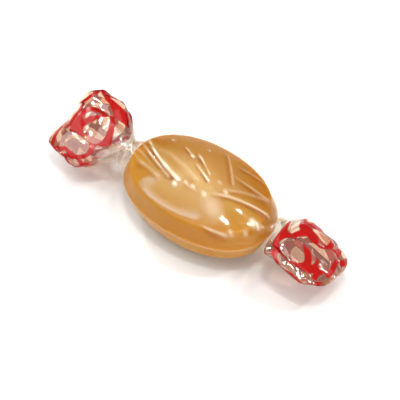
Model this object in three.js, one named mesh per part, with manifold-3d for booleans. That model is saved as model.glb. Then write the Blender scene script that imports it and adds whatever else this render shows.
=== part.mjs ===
// A barley sugar in its twist wrapper: one oval boiled sweet, and one sheet of clear film that
// is rolled round it, lapped along its length and twisted shut at both ends.
//
// Millimetres, +Z up. The sweet lies flat: X runs through both twists and Y across the sweet.
// The origin is the middle of the small flat spot of film that it rests on.

import * as THREE from 'three';
import { mergeVertices } from 'three/addons/utils/BufferGeometryUtils.js';
import Module from 'manifold-3d';

const wasm = await Module();
wasm.setup();

// The sweet: half sizes, and the soft rim where each domed face turns into the side wall.
const SWEET_HALF_LENGTH = 13.8;
const SWEET_HALF_WIDTH = 9.0;
const SWEET_HALF_HEIGHT = 6.2;
const OUTLINE_POWER = 2.15; // 2 is an ellipse, more makes the oval fuller at its shoulders
const RIM_REACH = 0.91; // how far out the rim lies, as a share of the outline
const RIM_RISE = 0.52; // how high the rim lies, as a share of the half height
const RIM_SOFTNESS = 0.08; // how widely the rim is rounded, as a share of the half height
const WALL_AT_RIM = 1.08; // height of the side wall's line over the rim, as a share of the rim's
const SWEET_SIDES = 40;
const SWEET_RINGS = 20;

// The film: the air gap round the sweet, and the film with its folds as one wall.
const FILM_GAP = 0.3;
const FILM_WALL = 0.45;
const BODY_HALF_LENGTH = SWEET_HALF_LENGTH + FILM_GAP + FILM_WALL;
const BODY_HALF_WIDTH = SWEET_HALF_WIDTH + FILM_GAP + FILM_WALL;
const BODY_HALF_HEIGHT = SWEET_HALF_HEIGHT + FILM_GAP + FILM_WALL;
const WRAPPER_SIDES = 64;
const WRAPPER_RINGS = 48;
const BODY_RING_SHARE = 0.56; // share of the rings that lie over the body

// The film under the sweet is pressed flat where it would reach lower than this by itself.
// That makes the small oval flat spot which the sweet rests on.
const FLAT_DEPTH = 0.16;
const GIRDLE_HEIGHT = BODY_HALF_HEIGHT - FLAT_DEPTH;

// The lap: the film's two long edges overlap low on the far side, parted by a hair.
const LAP_ANGLE = THREE.MathUtils.degToRad(-42);
const LAP_LENGTH = 13;
const LAP_PARTING = 0.4;
const LAP_DEPTH = 5;

// The necks: where the film is twisted tight, just past each end of the sweet. Towards the
// sweet the film opens out again, first steeply and then less and less.
const NECK_AT = 14.4;
const NECK_HALF_WIDTH = 2.4;
const NECK_HALF_HEIGHT = 2.1;
const GATHER_STEEPNESS = [0.85, 0.6]; // across and upwards, mm of spread for each mm
const GATHER_EASING = [0.028, 0.03];
const GATHER_BLEND = 1; // width of the soft join of gathered film and body, mm
const DRAWN_FROM = -1.5; // mm past the neck: where the middle line starts to run to the neck
const DRAWN_TO = 0.2;
const SHIFTED_BY = 0.3; // share of a twist's length over which its middle line shifts on

// The twists: the loose film beyond each neck, a pleated paddle on the side of +X and a wider,
// flatter fan on the side of -X. Sizes are in mm and angles in radians. opensBy and tipFrom are
// shares of the length: where a twist is fully open, and where its tip starts to round off.
// tipShare is the share of its size that is left at the very tip. neck is how far along Y and
// Z the neck is pulled off the sweet's own middle line, and shift how far the twist moves on
// from there while it opens. droop and sweep are how far its tip hangs and leans to one side.
const TWISTS = {
  front: {
    length: 12.4, halfWidth: 6.3, halfHeight: 2.1, opensBy: 0.3, tipFrom: 0.55, tipShare: 0.35,
    pleats: 6, pleatDepth: 0.1, lean: -0.35, neck: [1.2, 0.9], shift: [0.7, 0.9], droop: 3.0,
    sweep: -0.9,
  },
  back: {
    length: 14.0, halfWidth: 6.8, halfHeight: 2.0, opensBy: 0.5, tipFrom: 0.75, tipShare: 0.75,
    pleats: 8, pleatDepth: 0.12, lean: 0.25, neck: [-0.3, 0.4], shift: [0, 0], droop: 0.8,
    sweep: 0.6,
  },
};
const PLEAT_TURN = 0.7; // how far the pleats wind round the twist from neck to tip, radians

// The lower of two values, with their crossing rounded over the given width.
function softLower(a, b, width) {
  const near = Math.max(width - Math.abs(a - b), 0);
  return Math.min(a, b) - (near * near) / (4 * width);
}

// The higher of two values, rounded in the same way.
function softHigher(a, b, width) {
  return -softLower(-a, -b, width);
}

// Height of a pressed face as a share of the half height, for a distance out from the middle
// as a share of the outline: a shallow dome inside the rim and a steep wall outside it.
function pressedHeight(out) {
  const dome = 1 - (1 - RIM_RISE) * (out / RIM_REACH) ** 2;
  const wall = (WALL_AT_RIM * RIM_RISE * (1 - out)) / (1 - RIM_REACH);
  return Math.max(softLower(dome, wall, RIM_SOFTNESS), 0);
}

// Length of the vector (x, y) measured so that the oval outline is at 1.
function outlineShare(x, y, halfLength, halfWidth) {
  const along = Math.abs(x / halfLength) ** OUTLINE_POWER;
  const across = Math.abs(y / halfWidth) ** OUTLINE_POWER;
  return (along + across) ** (1 / OUTLINE_POWER);
}

// Removes what keeps neighbouring faces apart, so that the surface is closed.
function joined(geometry) {
  geometry.deleteAttribute('normal');
  geometry.deleteAttribute('uv');
  return mergeVertices(geometry);
}

// Moves each vertex of a geometry to where the function puts it.
function reshaped(geometry, place) {
  const position = geometry.attributes.position;
  const point = new THREE.Vector3();
  for (let i = 0; i < position.count; i++) {
    point.fromBufferAttribute(position, i);
    position.setXYZ(i, ...place(point));
  }
  return geometry;
}

// The pressed lozenge with the given half sizes, centred on its girdle. It starts as a ball:
// a point's distance from the ball's upright axis becomes its share of the oval outline.
function lozenge(halfLength, halfWidth, halfHeight) {
  const ball = joined(new THREE.SphereGeometry(1, SWEET_SIDES, SWEET_RINGS));
  ball.rotateX(Math.PI / 2);
  return reshaped(ball, (p) => {
    const out = Math.min(Math.hypot(p.x, p.y), 1);
    const scale = out > 0 ? out / outlineShare(p.x, p.y, halfLength, halfWidth) : 0;
    const girdle = Math.abs(p.z) < 1e-6;
    const height = girdle ? 0 : Math.sign(p.z) * halfHeight * pressedHeight(out);
    return [p.x * scale, p.y * scale, height];
  });
}

// Distance from the X axis to the wrapped body's surface, in the direction of the angle, at x.
function bodyRadius(x, angle) {
  if (Math.abs(x) >= BODY_HALF_LENGTH) return 0;
  let inside = 0;
  let outside = BODY_HALF_LENGTH;
  for (let step = 0; step < 30; step++) {
    const r = (inside + outside) / 2;
    const out = outlineShare(x, r * Math.cos(angle), BODY_HALF_LENGTH, BODY_HALF_WIDTH);
    const roof = out < 1 ? BODY_HALF_HEIGHT * pressedHeight(out) : 0;
    const within = out < 1 && Math.abs(r * Math.sin(angle)) < roof;
    if (within) inside = r;
    else outside = r;
  }
  return (inside + outside) / 2;
}

// Radius of an ellipse with the given half axes in the direction of the angle.
function ellipseRadius(across, upwards, angle) {
  return 1 / Math.hypot(Math.cos(angle) / across, Math.sin(angle) / upwards);
}

// How far a twist has turned about its middle line at a distance past the neck, in radians.
function turnOf(twist, past) {
  const t = Math.max(past, 0) / twist.length;
  return twist.lean * THREE.MathUtils.smoothstep(t, 0, twist.opensBy) + PLEAT_TURN * t;
}

// Distance from a twist's middle line to its film, at a distance along X past the neck, which
// is negative on the sweet's side of it. The pleats turn with the film, the flat form doesn't.
function twistRadius(twist, past, angle) {
  if (past < 0) {
    const spread = (i) => -past * GATHER_STEEPNESS[i] - past * past * GATHER_EASING[i];
    return ellipseRadius(NECK_HALF_WIDTH + spread(0), NECK_HALF_HEIGHT + spread(1), angle);
  }
  const t = past / twist.length;
  const open = THREE.MathUtils.smoothstep(t, 0, twist.opensBy);
  const tip = Math.max(t - twist.tipFrom, 0) / (1 - twist.tipFrom);
  const round = THREE.MathUtils.lerp(twist.tipShare, 1, Math.sqrt(1 - Math.min(tip, 1) ** 2));
  const across = THREE.MathUtils.lerp(NECK_HALF_WIDTH, twist.halfWidth, open) * round;
  const upwards = THREE.MathUtils.lerp(NECK_HALF_HEIGHT, twist.halfHeight, open) * round;
  const pleats = Math.cos(twist.pleats * (angle - turnOf(twist, past)));
  const leaning = angle - twist.lean * open;
  return ellipseRadius(across, upwards, leaning) * (1 + twist.pleatDepth * open * pleats);
}

// Where the middle line of the wrapper runs at x: straight through the sweet, then to the neck,
// and beyond the neck shifted on as the twist opens, drooping and swept a little to one side.
function middleLine(twist, past) {
  const t = Math.max(past, 0) / twist.length;
  const drawn = THREE.MathUtils.smoothstep(past, DRAWN_FROM, DRAWN_TO);
  const opened = THREE.MathUtils.smoothstep(t, 0, SHIFTED_BY);
  return new THREE.Vector2(
    twist.neck[0] * drawn + twist.shift[0] * opened + twist.sweep * t,
    twist.neck[1] * drawn + twist.shift[1] * opened - twist.droop * t * (2 - t),
  );
}

// The rings' places along X: evenly over the body and a little closer in the twists.
function ringPlace(share) {
  const reach = share * 2 - 1;
  const twist = reach > 0 ? TWISTS.front : TWISTS.back;
  const along = Math.abs(reach);
  if (along <= BODY_RING_SHARE) return (reach / BODY_RING_SHARE) * NECK_AT;
  const beyond = (along - BODY_RING_SHARE) / (1 - BODY_RING_SHARE);
  return Math.sign(reach) * (NECK_AT + beyond * twist.length);
}

// The outer form of the wrapper, closed at both tips, its middle on the X axis. It starts as a
// tube along X: each point turns with the film and gets the radius that the film has there.
function wrapperForm() {
  const tube = joined(new THREE.CylinderGeometry(1, 1, 1, WRAPPER_SIDES, WRAPPER_RINGS));
  tube.rotateZ(-Math.PI / 2);
  return reshaped(tube, (p) => {
    const x = ringPlace(p.x + 0.5);
    const twist = x > 0 ? TWISTS.front : TWISTS.back;
    const past = Math.abs(x) - NECK_AT;
    const middle = middleLine(twist, past);
    const onAxis = Math.hypot(p.y, p.z) < 0.5;
    if (onAxis) return [x, middle.x, middle.y];
    const angle = Math.atan2(p.z, p.y) + turnOf(twist, past);
    const r = softHigher(bodyRadius(x, angle), twistRadius(twist, past, angle), GATHER_BLEND);
    const y = middle.x + r * Math.cos(angle);
    const z = middle.y + r * Math.sin(angle);
    return [x, y, Math.max(z, -GIRDLE_HEIGHT)];
  });
}

// The thin slot that parts the film's two edges at the lap, from the cavity outwards.
function lapParting() {
  const blade = joined(new THREE.BoxGeometry(LAP_LENGTH, LAP_DEPTH, LAP_PARTING));
  const out = (BODY_HALF_HEIGHT + BODY_HALF_WIDTH) / 2;
  blade.translate(0, out, 0);
  blade.rotateX(LAP_ANGLE);
  return blade;
}

// A geometry as a solid that can be cut, and a cut solid as a geometry again.
function toSolid(geometry) {
  const vertProperties = new Float32Array(geometry.attributes.position.array);
  const triVerts = new Uint32Array(geometry.index.array);
  return new wasm.Manifold(new wasm.Mesh({ numProp: 3, vertProperties, triVerts }));
}

function toGeometry(solid) {
  const mesh = solid.getMesh();
  const geometry = new THREE.BufferGeometry();
  geometry.setAttribute('position', new THREE.BufferAttribute(mesh.vertProperties, mesh.numProp));
  geometry.setIndex(new THREE.BufferAttribute(mesh.triVerts, 1));
  geometry.computeVertexNormals();
  return geometry;
}

// The wrapper is its outer form, less the room for the sweet, less the parting at the lap.
function wrapperGeometry() {
  const room = lozenge(
    SWEET_HALF_LENGTH + FILM_GAP,
    SWEET_HALF_WIDTH + FILM_GAP,
    SWEET_HALF_HEIGHT + FILM_GAP,
  );
  const form = toSolid(wrapperForm());
  return toGeometry(form.subtract(toSolid(room)).subtract(toSolid(lapParting())));
}

// A named mesh with its middle at the height of the sweet's girdle.
function piece(name, geometry, look) {
  const mesh = new THREE.Mesh(geometry, new THREE.MeshStandardMaterial(look));
  mesh.name = name;
  mesh.position.z = GIRDLE_HEIGHT;
  return mesh;
}

const barleySugar = new THREE.Group();
barleySugar.add(
  piece('sweet', lozenge(SWEET_HALF_LENGTH, SWEET_HALF_WIDTH, SWEET_HALF_HEIGHT), {
    color: '#c98f4a',
    roughness: 0.15,
    metalness: 0,
  }),
  piece('wrapper', wrapperGeometry(), {
    color: '#e8b9a4',
    roughness: 0.1,
    metalness: 0,
  }),
);

export default barleySugar;
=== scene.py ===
"""A wrapped barley sugar on a pale worktop.

A pressed oval of boiled sugar lies in one sheet of clear twist film. The sheet is rolled round
the sweet, lapped low on its far side, gathered at two necks and printed in red on its loose
ends. All shapes are worked out in millimetres and become metres in skin().
"""
import math

import bpy
import numpy as np
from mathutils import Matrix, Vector


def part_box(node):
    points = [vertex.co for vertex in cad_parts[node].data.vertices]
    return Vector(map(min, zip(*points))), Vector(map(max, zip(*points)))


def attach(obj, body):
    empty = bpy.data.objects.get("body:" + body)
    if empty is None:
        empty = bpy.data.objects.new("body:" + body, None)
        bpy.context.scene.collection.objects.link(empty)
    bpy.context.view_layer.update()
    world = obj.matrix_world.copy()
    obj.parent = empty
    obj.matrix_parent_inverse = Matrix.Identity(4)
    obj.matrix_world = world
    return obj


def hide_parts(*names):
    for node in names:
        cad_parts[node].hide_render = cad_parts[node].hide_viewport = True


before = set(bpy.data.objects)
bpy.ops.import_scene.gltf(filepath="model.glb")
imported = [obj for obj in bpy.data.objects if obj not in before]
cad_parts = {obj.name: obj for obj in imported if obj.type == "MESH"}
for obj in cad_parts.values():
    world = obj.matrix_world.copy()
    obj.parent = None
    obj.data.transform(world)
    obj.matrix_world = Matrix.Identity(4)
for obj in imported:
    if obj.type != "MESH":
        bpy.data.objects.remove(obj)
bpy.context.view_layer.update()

MM = 0.001
TURN = 2 * math.pi


def box_mm(node):
    """Lowest and highest corner of a CAD node, in millimetres."""
    low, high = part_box(node)
    return np.array(low) / MM, np.array(high) / MM


# ---------------------------------------------------------------- sizes, in millimetres

sweet_low, sweet_high = box_mm("sweet")
film_low, film_high = box_mm("wrapper")
HALF_LENGTH, HALF_WIDTH, HALF_HEIGHT = (sweet_high - sweet_low) / 2
GIRDLE_Z = (sweet_high + sweet_low)[2] / 2

# The die: an oval a little fuller than an ellipse, a shallow dome inside a soft rim, and a
# steep wall from the rim to the girdle. Shares are of the outline, the half height and, for
# the wall's line over the rim, the rim's height.
OUTLINE_POWER = 2.15
RIM_REACH = 0.91
RIM_RISE = 0.52
RIM_SOFTNESS = 0.08
WALL_AT_RIM = 1.08
PARTING_HEIGHT = 0.09
PARTING_WIDTH = 0.17
SWEET_UNEVENNESS = 0.06
SWEET_ROWS = 141
SWEET_COLUMNS = 256

# The sheet of film. Its width is counted round from the lap, where its last edge rises over its
# first. One turn counts as FILM_AROUND everywhere, which is 4 % less than the girth over the
# sweet's middle. FILM_ROWS are for the back end, its neck, the body, the front neck and the
# front end.
FILM_THICKNESS = 0.03
FILM_GAP = 0.08
FILM_AROUND = 48.0
FILM_LAP = 2.4
LAP_LIFT = 0.12
LAP_RISES_OVER = 4.0
LAP_ANGLE = math.radians(-42)
DRUM_RADIUS = FILM_AROUND / TURN
FILM_COLUMNS = 236
FILM_ROWS = (28, 30, 88, 30, 29)

# The necks, where the film is twisted tight past each end of the sweet. Towards the sweet it
# opens out again, steeply at first and then less and less. Pairs are across and through.
NECK_AT = HALF_LENGTH + 0.6
NECK_HALF = (2.4, 2.0)
GATHER_FROM = 12.5
GATHER_STEEPNESS = (0.85, 0.6)
GATHER_EASING = (0.028, 0.03)
GATHER_BLEND = 0.5
TWIST_STARTS = 2.2
TWIST_DONE = 3.0
TWIST_TURN = 0.55 * TURN

# The folds that gather the sheet.
FOLDS = 8
FOLD_SIZE = 1.9  # width of film that runs in on each side of a fold line at the necks
FOLD_HIDES = 0.84  # share of that width which no longer shows
FOLD_DEEPEST = 0.94  # how far in a fold reaches at most, as a share of the way to the heart
FOLD_SINK = 0.45  # how far the film sinks in at first, as a share of its depth in the fold
FOLD_SLIDE = 1.3  # how far round it slides, as a share of that depth

# The loose ends beyond the necks, the front one and the back one:
#   tip               how far from the middle it ends along X, but for its ragged edge
#   across, through   half sizes where it is open
#   opens_by          share of its length after which it is fully open
#   tip_from          share of its length after which its tip rounds off
#   tip_share         share of its size that is left at the tip
#   lean              how far it is turned about its own line, in radians
#   droop, sweep      how far its tip hangs, and how far it is swept to one side
#   fold              how far the film runs in at a fold
#   crumple, wave     heights of its facets and of its waves
#   neck, shift       how far along Y and Z its neck is pulled off the sweet's middle line,
#                     and how far it moves on from there as it opens
TWISTS = {
    1: dict(tip=film_high[0] - 0.4, across=6.3, through=2.0, opens_by=0.17, tip_from=0.55,
            tip_share=0.35, lean=-0.35, droop=3.0, sweep=-0.9, fold=1.5, crumple=0.9,
            wave=0.3, neck=(1.2, 0.9), shift=(0.7, 0.9)),
    -1: dict(tip=-film_low[0], across=6.8, through=1.9, opens_by=0.5, tip_from=0.75,
             tip_share=0.75, lean=0.25, droop=0.8, sweep=0.6, fold=1.5, crumple=0.8,
             wave=0.9, neck=(-0.3, 0.4), shift=(0.0, 0.0)),
}

SHIFTED_BY = 0.3  # share of an end's length over which it moves on from its neck
TIP_THINNING = 0.7  # share of its thickness that an end loses towards its tip
TIP_RAGGEDNESS = 0.5  # how far the cut edge stands out or back
HEART_REACH = 0.45  # half length of the heart that the folds run to, as a share of the end's

# Crumpled film: size of the large facets and how far they are drawn out along the loose ends,
# size and share of the small ones, and size, drawing out and height of the gentle panels over
# the sweet. A pattern is drawn out by shrinking X by this share before it is laid on.
FACET = 4.6
FACET_DRAWN_OUT = 0.4
SMALL_FACET = 1.9
SMALL_FACET_SHARE = 0.25
PANEL = 7.0
PANEL_DRAWN_OUT = 0.4
PANEL_HEIGHT = 0.1

# What the sweet and its weight press into the film: the ridge over the girdle, with its height
# and half width, and the flat spot that the sweet rests on, with its reach and depth.
RIDGE_HEIGHT = 0.10
RIDGE_WIDTH = 0.3
SPOT_REACH = (5.5, 3.8)
SPOT_DEPTH = 0.7

# Creases pulled into the film. Each neck has a number of fine ones, given with how sharp they
# are, the width of their white crest, partly stress whitening and partly a painted highlight,
# and the place and width of the painted shade beside it. Then the same for the strong ones over
# the upper face, in their half widths, and their list: start and end (x, y), sideways bow,
# height, half width and how white the crest is painted.
END_CREASES = 15
END_SHARPNESS = 0.45
END_CREST_WIDTH = 0.18
END_SHADE_AT = 0.36
END_SHADE_WIDTH = 0.2
CREST_WIDTH = 0.4
SHADE_AT = -1.05
SHADE_WIDTH = 0.55
TOP_CREASES = [
    ((-13.0, 2.7), (-1.2, -3.4), -0.90, 0.12, 0.40, 1.00),
    ((-7.2, -1.3), (-1.1, -3.4), -0.20, 0.05, 0.62, 1.00),
    ((-13.2, 1.2), (-2.8, -3.8), -0.40, 0.08, 0.40, 0.40),
    ((-11.0, -2.7), (-4.4, -4.4), 0.00, 0.06, 0.60, 0.16),
    ((-9.0, 1.0), (1.6, -1.9), 0.00, 0.02, 0.90, 0.09),
    ((-5.8, 3.2), (-2.3, 1.5), 0.00, 0.07, 0.32, 0.40),
    ((-1.6, 0.8), (2.8, -1.0), 0.00, 0.10, 0.35, 0.80),
    ((-3.2, 3.2), (2.1, 0.1), 0.00, 0.09, 0.32, 0.50),
    ((-1.0, -3.3), (2.6, -3.4), 0.00, 0.06, 0.35, 0.22),
    ((2.3, -3.5), (13.4, 1.5), 0.55, 0.03, 0.45, 0.40),
    ((3.2, -2.2), (11.8, 3.8), 0.25, 0.06, 0.55, 0.16),
    ((0.3, 6.7), (6.0, 0.9), 0.10, 0.08, 0.45, 0.18),
    ((3.4, 2.7), (12.6, 3.9), -0.20, 0.08, 0.45, 0.14),
    ((2.6, 4.8), (9.0, 6.1), 0.15, 0.06, 0.45, 0.10),
    ((5.2, -7.0), (10.2, -5.5), -0.35, 0.03, 0.36, 0.28),
]

# Small puckers of the film on the upper face: place (x, y), height, radius, how white it is
# painted as a highlight, and how many times longer than wide it is drawn out along the pull of
# the film. Those with no height are only painted highlights, and the broad faint one a painted
# sheen.
PUCKERS = [
    (12.9, -1.8, 0.14, 1.00, 0.00, 1.0),
    (-1.8, -4.1, 0.05, 0.40, 1.00, 1.4),
    (-0.3, -3.1, 0.02, 0.32, 0.45, 1.6),
    (1.1, -3.1, 0.02, 0.34, 0.55, 1.6),
    (3.4, -3.1, 0.03, 0.42, 0.60, 1.6),
    (5.8, -0.7, 0.02, 0.40, 0.45, 1.6),
    (3.9, 0.1, 0.02, 0.32, 0.25, 1.6),
    (-2.8, 1.7, 0.04, 0.32, 0.85, 1.6),
    (-1.7, 2.3, 0.03, 0.30, 0.55, 1.6),
    (-1.9, 4.8, 0.02, 0.28, 0.30, 1.6),
    (-8.3, 3.6, 0.02, 0.30, 0.35, 1.6),
    (10.2, -5.1, 0.02, 0.30, 0.45, 1.6),
    (11.9, -3.5, 0.02, 0.26, 0.40, 1.6),
    (13.1, -0.9, 0.02, 0.30, 0.30, 1.6),
    (5.6, -4.0, 0.00, 1.50, 0.21, 1.6),
    (11.9, -1.6, 0.00, 0.50, 0.90, 1.2),
    (12.6, -1.3, 0.00, 0.36, 0.80, 1.6),
]
PULLED_WAY = math.radians(-20)

# A painted reflection on the near side of the upper face: a pale oval, as a soft lamp mirrored
# in the film.
REFLECTION_PATCH_MIDDLE = (-1.1, -5.95)
REFLECTION_PATCH_REACH = (6.2, 1.7)
REFLECTION_PATCH_EDGE = 0.8

# Two marks painted at the front neck: painted shade in a deep fold on its near, lower side, and
# a painted highlight on its top. Each is distance past the neck, angle round it in radians, and
# reach along and round.
SHADED_FOLD = (1.1, 3.4, 0.6, 0.45)
HIGHLIGHT_FOLD = (0.1, 0.85, 0.5, 0.25)

# How strongly each of these whitens the film, besides its crests: the pale oval as a painted
# reflection, the loose ends as a veil, the girdle as stress whitening and a painted highlight,
# and the fold at the neck's top as a painted highlight. Then how strongly each of those darkens
# it as painted shade, the fold being the deep one at the neck's lower side. In the pale oval
# the film also mirrors as gathered film does, by this share.
HAZE_AND_HIGHLIGHT_OF = dict(reflection_patch=0.11, loose_end=0.07, girdle=0.12, fold=0.8)
SHADE_OF = dict(crease=0.6, far_side=0.25, fold=0.9)
REFLECTION_PATCH_MIRRORS = 0.35

# The red print, placed from the sheet's cut ends: a wavy border line, and rings in a row round
# the sheet that one wavy ribbon crosses. Sizes and strokes are half lengths and half widths,
# RING_RADIUS turns shares of a ring into millimetres, and angles are in radians. The printed
# film is faintly tinted: its tint begins at the first of TINT_ENDS and is full at the second.
BORDER_AT = 1.2
BORDER_SIZE = 0.4
BORDER_WAVE = 0.5
BORDER_WAVES = 6
RINGS = 5
RINGS_AT = 6.2
RING_SIZE = (3.8, 2.7)
RING_RADIUS = 3.0
RING_SLANT = 0.35
RING_STROKE = 0.62
RING_SWELL = 0.3
RING_SWELLS_AT = 0.9
RINGS_SHIFTED = 1.5
RIBBON_SIZE = 0.45
RIBBON_WAVE = 2.4
RIBBON_SHIFTED = 1.0
TINT_ENDS = (11.0, 9.4)


# ---------------------------------------------------------------- fields

def ramp(value, low, high):
    """A smooth step from 0 at low to 1 at high: 3t^2 - 2t^3 of the clipped share t."""
    t = np.clip((value - low) / (high - low), 0, 1)
    return t * t * (3 - 2 * t)


def bell(value, width):
    """A bell curve: e to the minus square of the value over the width."""
    return np.exp(-(value / width) ** 2)


def soft_lower(a, b, width):
    """The lower of two fields with their crossing rounded: the minimum, less the square of how
    far the gap falls short of width over four widths."""
    near = np.maximum(width - np.abs(a - b), 0)
    return np.minimum(a, b) - near * near / (4 * width)


def soft_higher(a, b, width):
    """The higher of two fields, rounded in the same way."""
    return -soft_lower(-a, -b, width)


def pressed_height(out):
    """Height of a pressed face as a share of the half height, at a share out from its middle:
    the lower of a parabola through the rim and a straight wall down to the outline."""
    dome = 1 - (1 - RIM_RISE) * (out / RIM_REACH) ** 2
    wall = WALL_AT_RIM * RIM_RISE * (1 - out) / (1 - RIM_REACH)
    return np.maximum(soft_lower(dome, wall, RIM_SOFTNESS), 0)


def outline_share(x, y, spare):
    """The superellipse norm of (x, y), which is 1 on the oval outline grown by spare."""
    along = np.abs(x / (HALF_LENGTH + spare)) ** OUTLINE_POWER
    across = np.abs(y / (HALF_WIDTH + spare)) ** OUTLINE_POWER
    return (along + across) ** (1 / OUTLINE_POWER)


def waves(points, spacing, count, seed):
    """Gentle unevenness: the mean of sine waves that cross the points in random directions."""
    rng = np.random.default_rng(seed)
    total = np.zeros(points.shape[:-1])
    for _ in range(count):
        way = rng.normal(size=3)
        way *= TURN / (spacing * rng.uniform(0.7, 1.4) * np.linalg.norm(way))
        total += np.sin(points @ way + rng.uniform(0, TURN))
    return total / count


def crumple(points, spacing, count, seed):
    """Crumpled film: the mean of triangle waves in random directions, so that the surface
    breaks into flat facets with sharp creases between them."""
    rng = np.random.default_rng(seed)
    total = np.zeros(points.shape[:-1])
    for _ in range(count):
        way = rng.normal(size=3)
        way /= spacing * rng.uniform(0.6, 1.7) * np.linalg.norm(way)
        phase = (points @ way + rng.uniform()) % 1
        total += 2 * np.abs(2 * phase - 1) - 1
    return total / count


# ---------------------------------------------------------------- meshes

def grid_faces(rows, columns, ring):
    """The four corners of each cell of a grid of points, wrapped round if it is a ring."""
    across = columns if ring else columns - 1
    row, column = np.meshgrid(np.arange(rows - 1), np.arange(across), indexing="ij")
    beside = (column + 1) % columns
    corners = (row * columns + column, row * columns + beside,
               (row + 1) * columns + beside, (row + 1) * columns + column)
    return np.stack(corners, axis=-1).reshape(-1, 4)


def skin(name, points, faces):
    """A smooth mesh object from points in millimetres and a list of each face's corners."""
    mesh = bpy.data.meshes.new(name)
    mesh.from_pydata((points.reshape(-1, 3) * MM).tolist(), [], faces)
    mesh.validate()
    mesh.shade_smooth()
    piece = bpy.data.objects.new(name, mesh)
    bpy.context.collection.objects.link(piece)
    return piece


def paint(piece, name, values):
    """Gives each vertex of a piece a number that its material can read."""
    attribute = piece.data.attributes.new(name, "FLOAT", "POINT")
    attribute.data.foreach_set("value", np.ascontiguousarray(values, np.float32).ravel())


def boiled_sweet():
    """The pressed lozenge. Rows run from the top of the upper dome to the bottom of the lower
    one, columns round the oval. A row's share out is the sine of its angle from the pole, and
    the parting line is a bell-shaped swelling of the girdle."""
    angle = np.linspace(0, math.pi, SWEET_ROWS + 2)[1:-1, None]
    around = np.linspace(0, TURN, SWEET_COLUMNS, endpoint=False)[None, :]
    out = np.sin(angle) * np.ones_like(around)
    reach = out / outline_share(np.cos(around), np.sin(around), 0)
    side = np.where(angle < math.pi / 2, 1.0, -1.0)
    z = side * HALF_HEIGHT * pressed_height(out)
    places = np.stack([reach * np.cos(around), reach * np.sin(around), z], axis=-1)
    parting = PARTING_HEIGHT * bell(z, PARTING_WIDTH)
    parting *= 0.8 + 0.4 * waves(places, 6, 5, seed=3)
    uneven = SWEET_UNEVENNESS * waves(places, 7, 6, seed=5)
    places[..., 0] += parting * np.cos(around)
    places[..., 1] += parting * np.sin(around)
    places[..., 2] += side * uneven * np.clip(1.2 - out, 0, 1)
    poles = np.array([[0, 0, HALF_HEIGHT], [0, 0, -HALF_HEIGHT]])
    points = np.concatenate([places.reshape(-1, 3), poles])
    points[:, 2] += GIRDLE_Z
    faces = grid_faces(SWEET_ROWS, SWEET_COLUMNS, ring=True)[:, ::-1].tolist()
    first = np.arange(SWEET_COLUMNS)
    beside = (first + 1) % SWEET_COLUMNS
    last_row = (SWEET_ROWS - 1) * SWEET_COLUMNS
    pole = np.full_like(first, SWEET_ROWS * SWEET_COLUMNS)
    faces += np.stack([pole, first, beside], axis=-1).tolist()
    faces += np.stack([pole + 1, last_row + beside, last_row + first], axis=-1).tolist()
    return skin("boiled_sweet", points, faces)


# ---------------------------------------------------------------- form of the film

def of_end(x, name):
    """What TWISTS gives under this name for the end that each point lies on. A pair comes out
    as two fields."""
    front = np.array(TWISTS[1][name])[..., None, None]
    back = np.array(TWISTS[-1][name])[..., None, None]
    return np.where(x > 0, front, back)


def loose_end(x):
    """0 over the sweet, rising past the necks to 1 in the loose ends."""
    return ramp(np.abs(x), NECK_AT - 1, NECK_AT + 4)


def over_body(x):
    """1 over the sweet and 0 from the necks on."""
    return 1 - ramp(np.abs(x), NECK_AT - 1.6, NECK_AT)


def over_upper_face(angle):
    """1 over the upper face and 0 from the girdle down."""
    return ramp(np.sin(angle), 0.1, 0.45)


def film_rows():
    """The places of the sheet's rows along X: close at the necks, wider over the body."""
    loose = NECK_AT + TWIST_DONE
    stops = [-TWISTS[-1]["tip"], -loose, -GATHER_FROM, GATHER_FROM, loose, TWISTS[1]["tip"]]
    runs = [np.linspace(start, end, count, endpoint=False)
            for start, end, count in zip(stops, stops[1:], FILM_ROWS)]
    return np.append(np.concatenate(runs), stops[-1])


def wrapped_radius(x, angle):
    """Distance from the X axis to the film that hugs the sweet, in the direction of an angle.
    It is found by halving: a point is inside while it is lower than the roof over it."""
    inside = np.zeros(np.broadcast(x, angle).shape)
    outside = np.full_like(inside, HALF_LENGTH)
    for _ in range(26):
        middle = (inside + outside) / 2
        out = outline_share(x, middle * np.cos(angle), FILM_GAP)
        roof = (HALF_HEIGHT + FILM_GAP) * pressed_height(np.minimum(out, 1))
        within = (out < 1) & (np.abs(middle * np.sin(angle)) < roof)
        inside = np.where(within, middle, inside)
        outside = np.where(within, outside, middle)
    return inside


def ellipse_radius(across, through, angle):
    """Radius of an ellipse with these half axes in the direction of an angle."""
    return 1 / np.hypot(np.cos(angle) / across, np.sin(angle) / through)


def twist_form(x):
    """Half sizes and lean of the gathered film at each x, and the share t of its end's length
    there. From the neck an end opens by a smooth step and at the tip it closes along a quarter
    circle; towards the sweet it opens again along a parabola."""
    past = np.abs(x) - NECK_AT
    t = np.clip(past / (of_end(x, "tip") - NECK_AT), 0, 1)
    opened = ramp(t, 0, of_end(x, "opens_by"))
    tip = np.clip((t - of_end(x, "tip_from")) / (1 - of_end(x, "tip_from")), 0, 1)
    blunt = of_end(x, "tip_share")
    rounding = blunt + (1 - blunt) * np.sqrt(1 - tip * tip)
    back = np.maximum(-past, 0)
    sizes = []
    for side, name in enumerate(("across", "through")):
        loose = NECK_HALF[side] + (of_end(x, name) - NECK_HALF[side]) * opened
        if name == "through":
            loose = loose * (1 - TIP_THINNING * tip * tip)
        gathered = back * GATHER_STEEPNESS[side] - back * back * GATHER_EASING[side]
        sizes.append(loose * rounding + np.maximum(gathered, 0))
    return sizes[0], sizes[1], of_end(x, "lean") * opened, t


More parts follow.
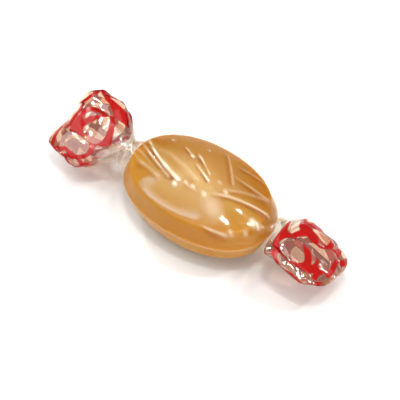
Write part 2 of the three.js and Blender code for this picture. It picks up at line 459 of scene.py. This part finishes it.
def film_outline(x, turned, across, through, lean):
    """Angle and radius of the film's outline about X: the film that hugs the sweet or the
    gathered film's ellipse, whichever is further out. The angle is squeezed as the outline is,
    so that the columns spread evenly along a flat outline too."""
    tall = soft_higher(wrapped_radius(x, math.pi / 2), through, GATHER_BLEND)
    wide = soft_higher(wrapped_radius(x, 0.0), across, GATHER_BLEND)
    own = np.arctan2(tall * np.sin(turned - lean), wide * np.cos(turned - lean))
    angle = own + lean
    gathered = ellipse_radius(across, through, own)
    return angle, soft_higher(wrapped_radius(x, angle), gathered, GATHER_BLEND)


def fold_field(x, t, around):
    """The pleats. Each fold line stays at its place round the sheet; near it the film runs
    inwards by a triangle wave softened by a cosine. Returns how deep the film lies, and how
    much of the sheet's width is left on the outside up to each point."""
    rng = np.random.default_rng(23)
    depth = np.zeros_like(x)
    left = np.array(around)
    opened = ramp(t, 0, of_end(x, "opens_by"))
    tightness = ramp(np.abs(x), HALF_LENGTH - 0.5, NECK_AT + 0.4)
    tightness *= FOLD_SIZE + (of_end(x, "fold") - FOLD_SIZE) * opened
    for number in range(FOLDS):
        at = (number + 0.5 + rng.uniform(-0.14, 0.14)) * FILM_AROUND / FOLDS
        size = np.maximum(tightness * rng.uniform(0.7, 1.25), 1e-3)
        near = np.clip((around - at) / size, -1, 1)
        shape = 0.6 * (1 - np.abs(near)) + 0.2 * (1 + np.cos(math.pi * near))
        depth += size * shape
        left -= FOLD_HIDES * size * (near + 1)
    return depth, left


# ---------------------------------------------------------------- creases of the film

def tent(aside):
    """A crease's section: two flat flanks that meet in a slightly rounded crest, as 1.12 less
    the hypotenuse of the distance aside and 0.12, and not below 0."""
    return np.maximum(1.12 - np.hypot(aside, 0.12), 0)


def creases_on_top(x, y):
    """Height of the creases pulled over the upper face, how white each point is painted along a
    crest, partly stress whitening and partly a painted highlight, and how deep it lies in the
    painted shade below one. Each crease is a tent across a line that is bowed like a parabola,
    and it rises and dies away along the line by smooth steps."""
    height, crest, shade = np.zeros((3, *x.shape))
    uneven = 1 + 0.9 * waves(np.stack([x, y, 0 * x], axis=-1), 3.5, 5, seed=19)
    for start, end, bow, rise, half_width, whitening_and_highlight in TOP_CREASES:
        way_x = end[0] - start[0]
        way_y = end[1] - start[1]
        length = math.hypot(way_x, way_y)
        t = ((x - start[0]) * way_x + (y - start[1]) * way_y) / length ** 2
        aside = ((y - start[1]) * way_x - (x - start[0]) * way_y) / length
        aside -= bow * 4 * t * (1 - t)
        height += rise * ramp(t, 0, 0.25) * ramp(t, 1, 0.75) * tent(aside / half_width)
        drawn = ramp(t, 0, 0.4) * ramp(t, 1, 0.9) * uneven
        crest = np.maximum(crest, whitening_and_highlight * drawn * bell(aside / half_width, CREST_WIDTH))
        below = bell(aside / half_width - SHADE_AT, SHADE_WIDTH)
        shade = np.maximum(shade, math.sqrt(whitening_and_highlight) * drawn * below)
    return np.stack([height, crest, shade])


def creases_at_ends(x, angle, radius):
    """The finer creases that both necks pull out over the sweet, as the same three fields. Each
    is a tent across an angle that drifts, as the twist winds the film round, and it dies away
    towards the middle."""
    rng = np.random.default_rng(11)
    height, crest, shade = np.zeros((3, *x.shape))
    for end in (1, -1):
        depth = GATHER_FROM + 1 - x * end
        for number in range(END_CREASES):
            at = TURN * (number + rng.uniform(-0.4, 0.4)) / END_CREASES
            reach = rng.uniform(3, 8)
            rise = rng.uniform(0.03, 0.09)
            half_width = rng.uniform(0.3, 0.5)
            drift = rng.uniform(0.03, 0.08)
            aside = np.angle(np.exp(1j * (angle - at - drift * depth))) * radius
            fade = ramp(depth, reach, 0) * ramp(x * end, -1, 2)
            height = np.maximum(height, rise * fade * tent(aside / half_width))
            sharp = END_SHARPNESS * np.sqrt(fade) * rise / half_width
            # A painted highlight along each fine crease, and painted shade beside it.
            crest = np.maximum(crest, sharp * bell(aside, END_CREST_WIDTH))
            shade = np.maximum(shade, sharp * bell(aside - END_SHADE_AT, END_SHADE_WIDTH))
    return np.stack([height, crest, shade])


def pulled_film(x, angle, radius):
    """Height that the pull of the two twists gives the film over the sweet, how white it is, partly
    stress whitening and partly painted highlights, and how deep in painted shade: the creases, and
    puckers that are bells on a stretched distance."""
    y = radius * np.cos(angle)
    creases = creases_on_top(x, y) * over_upper_face(angle) + creases_at_ends(x, angle, radius)
    height, crest, shade = creases * over_body(x)
    on_face = ramp(radius * np.sin(angle), 1.6, 2.8)
    for at_x, at_y, rise, reach, whitening_and_highlight, drawn_out in PUCKERS:
        along = (x - at_x) * math.cos(PULLED_WAY) + (y - at_y) * math.sin(PULLED_WAY)
        aside = (y - at_y) * math.cos(PULLED_WAY) - (x - at_x) * math.sin(PULLED_WAY)
        spread = np.hypot(along / drawn_out ** 0.5, aside * drawn_out ** 0.5)
        bump = on_face * bell(spread, reach)
        height += rise * bump
        crest = np.maximum(crest, whitening_and_highlight * bump)
    return height, crest, shade


def fold_mark(x, angle, past_neck, at_angle, along, across):
    """A bell in both directions round one place at the front neck."""
    aside = np.angle(np.exp(1j * (angle - at_angle)))
    return bell(x - NECK_AT - past_neck, along) * bell(aside, across)


def painted_reflection_patch(x, y):
    """The painted reflection: a pale band inside its oval outline that fades towards its middle,
    kept to the near and the left side, and a brighter painted line just inside the near edge."""
    share = np.hypot((x - REFLECTION_PATCH_MIDDLE[0]) / REFLECTION_PATCH_REACH[0], (y - REFLECTION_PATCH_MIDDLE[1]) / REFLECTION_PATCH_REACH[1])
    band = ramp(share, 1.05, 0.97) * ramp(share, 0.4, 0.9)
    kept = np.maximum(ramp(-y, 5.3, 6.6), ramp(-x, 3.6, 5.7))
    return band * kept + REFLECTION_PATCH_EDGE * bell(share - 0.94, 0.09) * ramp(-y, 6.0, 7.0)


# ---------------------------------------------------------------- the sheet of film

def print_distance(from_tip, around):
    """Distance in millimetres to the nearest edge of the red print, negative inside it. The
    print is a row of slanted rings, swollen on one side as a brush leaves them, crossed by one
    wavy ribbon, above a thinner wavy border line."""
    border = BORDER_WAVE * np.sin(BORDER_WAVES * TURN * around / FILM_AROUND)
    border = np.abs(from_tip - BORDER_AT - border) - BORDER_SIZE
    pitch = FILM_AROUND / RINGS
    a = from_tip - RINGS_AT
    b = (around + RINGS_SHIFTED) % pitch - pitch / 2
    ring_a = (a * math.cos(RING_SLANT) + b * math.sin(RING_SLANT)) / RING_SIZE[0]
    ring_b = (-a * math.sin(RING_SLANT) + b * math.cos(RING_SLANT)) / RING_SIZE[1]
    stroke = RING_STROKE + RING_SWELL * np.cos(np.arctan2(ring_b, ring_a) - RING_SWELLS_AT)
    ring = np.abs(np.hypot(ring_a, ring_b) - 1) * RING_RADIUS - stroke
    rate = TURN / pitch
    phase = rate * (around - RIBBON_SHIFTED)
    slope = RIBBON_WAVE * rate * np.cos(phase)
    ribbon = np.abs(a + RIBBON_WAVE * np.sin(phase)) / np.hypot(1, slope) - RIBBON_SIZE
    return np.minimum(np.minimum(border, ring), ribbon)


def paint_film(film, x, y, z, angle, width, crest, shade):
    """Gives the sheet what its material reads, from each point's place about the sweet's own
    middle: distance to the print, the tint of the printed ends, how tightly it is gathered, raised
    in the pale oval so that the film mirrors more there, how white it is, as a veil on the loose
    ends, as stress whitening with a painted highlight on creases and along the girdle, and as
    painted highlights and a painted reflection elsewhere, and the painted shade of creases, of the
    far side and of a deep fold."""
    from_tip = of_end(x, "tip") - np.abs(x)
    # Painted reflection: the pale oval on the near side of the upper face.
    reflection_patch = painted_reflection_patch(x, y) * over_upper_face(angle)
    gathered = ramp(np.abs(x), HALF_LENGTH + 0.1, NECK_AT + 0.6)
    # Stress whitening and a painted highlight along the girdle.
    girdle = bell(z, 0.16) * over_body(x)
    far_side = ramp(y, -1.5, 2.5) * over_upper_face(angle) * over_body(x)
    haze_and_highlight = (crest + HAZE_AND_HIGHLIGHT_OF["reflection_patch"] * reflection_patch + HAZE_AND_HIGHLIGHT_OF["loose_end"] * loose_end(x)
            + HAZE_AND_HIGHLIGHT_OF["girdle"] * girdle + HAZE_AND_HIGHLIGHT_OF["fold"] * fold_mark(x, angle, *HIGHLIGHT_FOLD))
    dark = (SHADE_OF["crease"] * shade + SHADE_OF["far_side"] * far_side
            + SHADE_OF["fold"] * fold_mark(x, angle, *SHADED_FOLD))
    paint(film, "print_distance", print_distance(from_tip, width))
    paint(film, "tint", ramp(from_tip, *TINT_ENDS))
    paint(film, "gathered", np.maximum(gathered, REFLECTION_PATCH_MIRRORS * reflection_patch))
    paint(film, "haze_and_highlight", haze_and_highlight)
    paint(film, "shade", dark)


def on_drum(x, around):
    """The sheet rolled up as a plain drum, over which its facets and waves are laid."""
    turn = TURN * around / FILM_AROUND
    return np.stack([x, DRUM_RADIUS * np.cos(turn), DRUM_RADIUS * np.sin(turn)], axis=-1)


def gathered_turn(x, t, around, across, through):
    """How deep each point lies in a fold, and the angle about X at which it comes out: the
    width that is left outside the folds shares out one turn, the twist adds its own turn
    through the neck, and film in a fold slides on round."""
    depth, left = fold_field(x, t, around)
    _, whole = fold_field(x, t, np.full_like(x, FILM_AROUND))
    past = ramp(np.abs(x), NECK_AT - TWIST_STARTS, NECK_AT + TWIST_DONE)
    slide = FOLD_SLIDE * depth / np.hypot(across, through) * np.sign(x)
    return depth, TURN * left / whole + LAP_ANGLE + TWIST_TURN * past + slide


def crumpled_height(x, drum):
    """Height of the facets that crumple the loose ends and of the panels over the sweet."""
    loose = loose_end(x)
    drawn_out = drum.copy()
    drawn_out[..., 0] *= 1 - FACET_DRAWN_OUT * loose
    facets = crumple(drawn_out, FACET, 4, seed=31)
    facets += SMALL_FACET_SHARE * crumple(drum, SMALL_FACET, 4, seed=37)
    panels = crumple(drum * [1 - PANEL_DRAWN_OUT, 1, 1], PANEL, 4, seed=41)
    return of_end(x, "crumple") * loose * facets + PANEL_HEIGHT * (panels + 0.5) * (1 - loose)


def folded_in(angle, radius, depth, heart, lean):
    """Draws the film in from its outline towards its place on the heart, a line through the
    middle along the lean. The share of the way nears FOLD_DEEPEST as one less e to the minus
    depth in the fold. Returns Y, Z and that share."""
    outline = np.stack([radius * np.cos(angle), radius * np.sin(angle)])
    inward = heart * np.stack([np.cos(lean), np.sin(lean)]) - outline
    room = FOLD_DEEPEST * np.maximum(np.linalg.norm(inward, axis=0), 0.1)
    share = FOLD_DEEPEST * (1 - np.exp(-FOLD_SINK * depth / room))
    y, z = outline + inward * share
    return y, z, share


def drawn_off(x, y, z, t, drum):
    """Draws the film off the sweet's middle line: by a smooth step to each neck and another
    past it, then straight to one side and down along a parabola to the tip, in soft waves."""
    neck_y, neck_z = of_end(x, "neck") * ramp(np.abs(x), HALF_LENGTH - 0.9, NECK_AT + 0.2)
    shift_y, shift_z = of_end(x, "shift") * ramp(t, 0, SHIFTED_BY)
    wave = of_end(x, "wave") * t * waves(drum, 11, 4, seed=43) * loose_end(x)
    y = y + neck_y + shift_y + of_end(x, "sweep") * t
    z = z + neck_z + shift_z - of_end(x, "droop") * t * (2 - t) + wave
    return y, z


def pressed_flat(x, y, z):
    """Height of the film once the sweet's weight has pressed it down, in a bell round the spot
    that it rests on, against the worktop."""
    spot = bell(np.hypot(x / SPOT_REACH[0], y / SPOT_REACH[1]), 1) * (z < GIRDLE_Z)
    return np.maximum(z - SPOT_DEPTH * spot, FILM_THICKNESS)


def film_sheet():
    """The wrapper: one sheet with rows along X and columns round the sweet. It is rolled round
    the sweet and gathered to its outline, then pulled, pressed and crumpled off that outline,
    folded in, drawn off the middle line with its ends, and given its thickness."""
    x = film_rows()[:, None] * np.ones(FILM_COLUMNS)
    width = np.linspace(0, FILM_AROUND + FILM_LAP, FILM_COLUMNS) * np.ones_like(x)
    around = np.where(width > FILM_AROUND, width - FILM_AROUND, width)
    drum = on_drum(x, around)

    across, through, lean, t = twist_form(x)
    depth, turned = gathered_turn(x, t, around, across, through)
    angle, outline = film_outline(x, turned, across, through, lean)

    pulled, crest, shade = pulled_film(x, angle, outline)
    ridge = RIDGE_HEIGHT * bell(outline * np.sin(angle), RIDGE_WIDTH) * (np.abs(x) < HALF_LENGTH)
    lap = LAP_LIFT * ramp(width, FILM_AROUND - LAP_RISES_OVER, FILM_AROUND)
    radius = outline + pulled + ridge + crumpled_height(x, drum) + lap

    heart = HEART_REACH * across * np.cos(turned - lean) * loose_end(x)
    y, z, share = folded_in(angle, radius, depth, heart, lean)
    y, z = drawn_off(x, y, z, t, drum)
    z = pressed_flat(x, y, z + GIRDLE_Z)
    ragged = TIP_RAGGEDNESS * (waves(drum * [0, 1, 1], 9, 5, seed=47) - share) * t * t
    points = np.stack([x + np.sign(x) * ragged, y, z], axis=-1)

    film = skin("film_wrapper", points, grid_faces(*x.shape, ring=False).tolist())
    paint_film(film, x, outline * np.cos(angle), radius * np.sin(angle), angle, width,
               crest, shade)
    wall = film.modifiers.new("film thickness", "SOLIDIFY")
    wall.thickness = FILM_THICKNESS * MM
    wall.offset = 0
    return film


# ---------------------------------------------------------------- materials

def colour(hexcode):
    """An sRGB hex colour as the linear RGBA that shaders take."""
    srgb = np.array([int(hexcode[i:i + 2], 16) for i in (1, 3, 5)]) / 255
    linear = np.where(srgb <= 0.04045, srgb / 12.92, ((srgb + 0.055) / 1.055) ** 2.4)
    return (*linear.tolist(), 1.0)


def new_material(name):
    """An empty node material, its node tree and its output node."""
    material = bpy.data.materials.new(name)
    material.use_nodes = True
    tree = material.node_tree
    tree.nodes.clear()
    return material, tree, tree.nodes.new("ShaderNodeOutputMaterial")


def add(tree, kind, inputs=None, **settings):
    """Adds a node: settings are its properties, inputs its sockets' values or the outputs
    that they are linked to."""
    node = tree.nodes.new("ShaderNode" + kind)
    for name, value in settings.items():
        setattr(node, name, value)
    for name, value in (inputs or {}).items():
        if isinstance(value, bpy.types.NodeSocket):
            tree.links.new(value, node.inputs[name])
        else:
            node.inputs[name].default_value = value
    return node


def boiled_sugar():
    """Boiled sugar, poured hot and pressed cold in a die. To the eye it is an amber glass made
    cloudy by tiny air bubbles: light soaks in and comes out again, the thin rim is a deeper,
    clearer gold than the clouded middle, and the surface is glossy but faintly orange-peeled.
    The middle is painted paler still, a painted sheen of the soft light over the faces. The
    clouds are about 9 mm across and the peel 1.2 mm."""
    material, tree, output = new_material("boiled sugar, pressed")
    place = add(tree, "TexCoord").outputs["Object"]
    level = add(tree, "VectorMath", {0: place, 1: (0, 0, GIRDLE_Z * MM)}, operation="SUBTRACT")
    to_shares = (1 / (HALF_LENGTH * MM), 1 / (HALF_WIDTH * MM), 0)
    shares = add(tree, "VectorMath", {0: level.outputs[0], 1: to_shares}, operation="MULTIPLY")
    out = add(tree, "VectorMath", {0: shares.outputs[0]}, operation="LENGTH").outputs["Value"]
    cloud = add(tree, "TexNoise", {"Vector": place, "Scale": 1 / (9 * MM), "Detail": 3.0,
                                   "Roughness": 0.55, "Distortion": 0.6}).outputs["Fac"]
    # Paler towards the middle: partly its clouding, partly a painted sheen.
    reach = add(tree, "Math", {0: out, 1: 0.8}, operation="MULTIPLY").outputs[0]
    clouded = add(tree, "Math", {0: cloud, 1: 0.35, 2: reach}, operation="MULTIPLY_ADD")
    tone_and_sheen = add(tree, "ValToRGB", {"Fac": clouded.outputs[0]})
    stops = tone_and_sheen.color_ramp.elements
    stops[0].position = 0.25
    stops[0].color = colour("#caa971")
    stops[1].position = 1.0
    stops[1].color = colour("#bd801a")
    stops.new(0.75).color = colour("#b68838")
    peel = add(tree, "TexNoise", {"Vector": place, "Scale": 1 / (1.2 * MM), "Detail": 2.0})
    bump = add(tree, "Bump", {"Height": peel.outputs["Fac"], "Strength": 0.12,
                              "Distance": 0.2 * MM})
    sugar = add(tree, "BsdfPrincipled", {
        "Base Color": tone_and_sheen.outputs["Color"], "Roughness": 0.3, "IOR": 1.5,
        "Specular IOR Level": 0.12, "Specular Tint": colour("#fff0bc"), "Subsurface Weight": 1.0,
        "Subsurface Radius": (1.0, 0.55, 0.2), "Subsurface Scale": 5.0 * MM,
        "Normal": bump.outputs["Normal"]})
    tree.links.new(sugar.outputs[0], output.inputs["Surface"])
    return material


def printed_film():
    """Cellulose twist film, 0.03 mm thick, printed in red along both ends. It is clear and
    very glossy, mirrors more at a slant and where it is gathered in layers, whitens where it
    is creased, and the ink is a dense, glossy scarlet. Its attributes lay painted highlights and a
    painted reflection over it as a golden or grey white, and painted shade as a dim brown. Its
    crinkles are about 1.6 mm across."""
    material, tree, output = new_material("cellulose twist film, printed")
    place = add(tree, "TexCoord").outputs["Object"]
    stroke = add(tree, "Attribute", attribute_name="print_distance").outputs["Fac"]
    tint = add(tree, "Attribute", attribute_name="tint").outputs["Fac"]
    gathered = add(tree, "Attribute", attribute_name="gathered").outputs["Fac"]
    haze_and_highlight = add(tree, "Attribute", attribute_name="haze_and_highlight").outputs["Fac"]
    shade = add(tree, "Attribute", attribute_name="shade").outputs["Fac"]

    crinkle = add(tree, "TexNoise", {"Vector": place, "Scale": 1 / (1.6 * MM), "Detail": 3.0,
                                     "Roughness": 0.5})
    rough = add(tree, "Math", {0: tint, 1: 0.12, 2: 0.06}, operation="MULTIPLY_ADD").outputs[0]
    bump = add(tree, "Bump", {"Height": crinkle.outputs["Fac"], "Strength": rough,
                              "Distance": 0.12 * MM}).outputs["Normal"]
    facing = add(tree, "LayerWeight", {"Blend": 0.5, "Normal": bump}).outputs["Facing"]
    grazing = add(tree, "Math", {0: facing, 1: 5.0}, operation="POWER").outputs[0]
    layers = add(tree, "Math", {0: gathered, 1: 0.05, 2: 0.011}, operation="MULTIPLY_ADD")
    mirror = add(tree, "Math", {0: grazing, 1: 0.08, 2: layers.outputs[0]},
                 operation="MULTIPLY_ADD")

    plain = add(tree, "BsdfTransparent", {"Color": colour("#fdfcfa")})
    # Painted shade: the dim colour, mixed in by the shade attribute.
    dim = add(tree, "BsdfTransparent", {"Color": colour("#e3c8a4")})
    pink = add(tree, "BsdfTransparent", {"Color": colour("#fdf0e6")})
    shaded = add(tree, "MixShader", {0: shade, 1: plain.outputs[0], 2: dim.outputs[0]})
    clear = add(tree, "MixShader", {0: tint, 1: shaded.outputs[0], 2: pink.outputs[0]})
    shine = add(tree, "BsdfGlossy", {"Color": (1, 1, 1, 1), "Roughness": 0.07, "Normal": bump})
    glossy = add(tree, "MixShader", {0: mirror.outputs[0], 1: clear.outputs[0],
                                     2: shine.outputs[0]})

    # The white of the film: golden where it lies on the sweet, a painted glow of light from the
    # amber sugar under its painted highlights, and greyer where it is gathered.
    milk_and_highlight = add(tree, "Mix", {0: gathered, 6: colour("#f6e3c0"), 7: colour("#d8c5b1")},
               data_type="RGBA")
    milky_and_highlight = add(tree, "BsdfPrincipled", {"Base Color": milk_and_highlight.outputs[2], "Roughness": 0.35,
                                         "Normal": bump})
    veil = add(tree, "Math", {0: haze_and_highlight, 1: 0.003}, operation="ADD", use_clamp=True)
    hazy_and_highlit = add(tree, "MixShader", {0: veil.outputs[0], 1: glossy.outputs[0],
                                   2: milky_and_highlight.outputs[0]})

    inked = add(tree, "MapRange", {"Value": stroke, "From Min": 0.06, "From Max": -0.06,
                                   "To Min": 0.0, "To Max": 0.94})
    ink = add(tree, "BsdfPrincipled", {"Base Color": colour("#a90a06"), "Roughness": 0.18,
                                       "Specular IOR Level": 0.3, "Normal": bump})
    printed = add(tree, "MixShader", {0: inked.outputs[0], 1: hazy_and_highlit.outputs[0],
                                      2: ink.outputs[0]})
    tree.links.new(printed.outputs[0], output.inputs["Surface"])
    return material


def pale_laminate():
    """Pale matt laminate, pressed smooth: to the eye a plain, even, near-white surface."""
    material, tree, output = new_material("pale matt laminate")
    surface = add(tree, "BsdfPrincipled", {"Base Color": colour("#f4f4f3"), "Roughness": 0.7})
    tree.links.new(surface.outputs[0], output.inputs["Surface"])
    return material


# ---------------------------------------------------------------- stage

CAMERA_AZIMUTH = math.radians(38.4)
CAMERA_ELEVATION = math.radians(50)
CAMERA_DISTANCE = 0.27
CAMERA_LENS = 150
CAMERA_TARGET = np.array([0.2, -0.2, GIRDLE_Z - 0.8]) * MM
SKY_STRENGTH = 0.19
FLOOR_HALF = 600.0

# Oval area lamps that face the sweet: azimuth and elevation in degrees, distance, width and
# height in metres, power in watts and roll about the lamp's own axis in degrees.
LAMPS = [
    ("overhead softbox", 50, 77.5, 0.6, 0.062, 0.085, 0.76, 45),
    ("rear softbox", 144, 69, 0.6, 0.050, 0.050, 0.45, 0),
    ("corner softbox", 126, 58, 0.6, 0.088, 0.080, 0.95, 0),
    ("strip softbox", -113, 41, 0.5, 0.010, 0.38, 0.62, -22),
    ("broad softbox", -70, 67, 0.8, 0.9, 0.9, 4.2, 0),
    ("front softbox", 25, 36, 0.9, 1.2, 1.2, 0.5, 0),
    ("side softbox", 68, 33, 0.7, 0.85, 0.85, 2.6, 0),
]


def direction(azimuth, elevation):
    """The unit vector from the object towards a place at this azimuth and elevation."""
    flat = math.cos(elevation)
    return np.array([math.sin(azimuth) * flat, -math.cos(azimuth) * flat, math.sin(elevation)])


def aim(thing, place, target):
    """Puts a camera or lamp at a place, with its -Z axis towards the target."""
    thing.location = Vector(place)
    thing.rotation_euler = (Vector(target) - Vector(place)).to_track_quat("-Z", "Y").to_euler()


def softbox(name, azimuth, elevation, distance, width, height, power, roll):
    """One lamp of the list, as an area light."""
    lamp = bpy.data.lights.new(name, "AREA")
    lamp.shape = "ELLIPSE"
    lamp.size = width
    lamp.size_y = height
    lamp.energy = power
    thing = bpy.data.objects.new(name, lamp)
    bpy.context.collection.objects.link(thing)
    place = direction(math.radians(azimuth), math.radians(elevation)) * distance
    aim(thing, place, (0, 0, 0))
    thing.rotation_euler.rotate_axis("Z", math.radians(roll))


def camera():
    """The scene's camera."""
    lens = bpy.data.cameras.new("camera")
    lens.lens = CAMERA_LENS
    lens.clip_start = 0.01
    thing = bpy.data.objects.new("camera", lens)
    bpy.context.collection.objects.link(thing)
    place = CAMERA_TARGET + direction(CAMERA_AZIMUTH, CAMERA_ELEVATION) * CAMERA_DISTANCE
    aim(thing, place, CAMERA_TARGET)
    bpy.context.scene.camera = thing


def studio():
    """Camera, lamps, an even white sky and a square of worktop."""
    camera()
    for lamp in LAMPS:
        softbox(*lamp)
    world = bpy.data.worlds.new("studio")
    world.use_nodes = True
    sky = world.node_tree.nodes["Background"]
    sky.inputs["Color"].default_value = (1, 1, 1, 1)
    sky.inputs["Strength"].default_value = SKY_STRENGTH
    bpy.context.scene.world = world
    bpy.context.scene.view_settings.view_transform = "Standard"
    bpy.context.scene.cycles.transparent_max_bounces = 64
    corners = np.array([[-1, -1, 0], [1, -1, 0], [1, 1, 0], [-1, 1, 0]]) * FLOOR_HALF
    floor = skin("worktop", corners, [(0, 1, 2, 3)])
    floor.data.materials.append(pale_laminate())


# ---------------------------------------------------------------- assembly

sweet = boiled_sweet()
sweet.data.materials.append(boiled_sugar())
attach(sweet, "root")
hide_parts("sweet")

film = film_sheet()
film.data.materials.append(printed_film())
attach(film, "root")
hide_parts("wrapper")

studio()
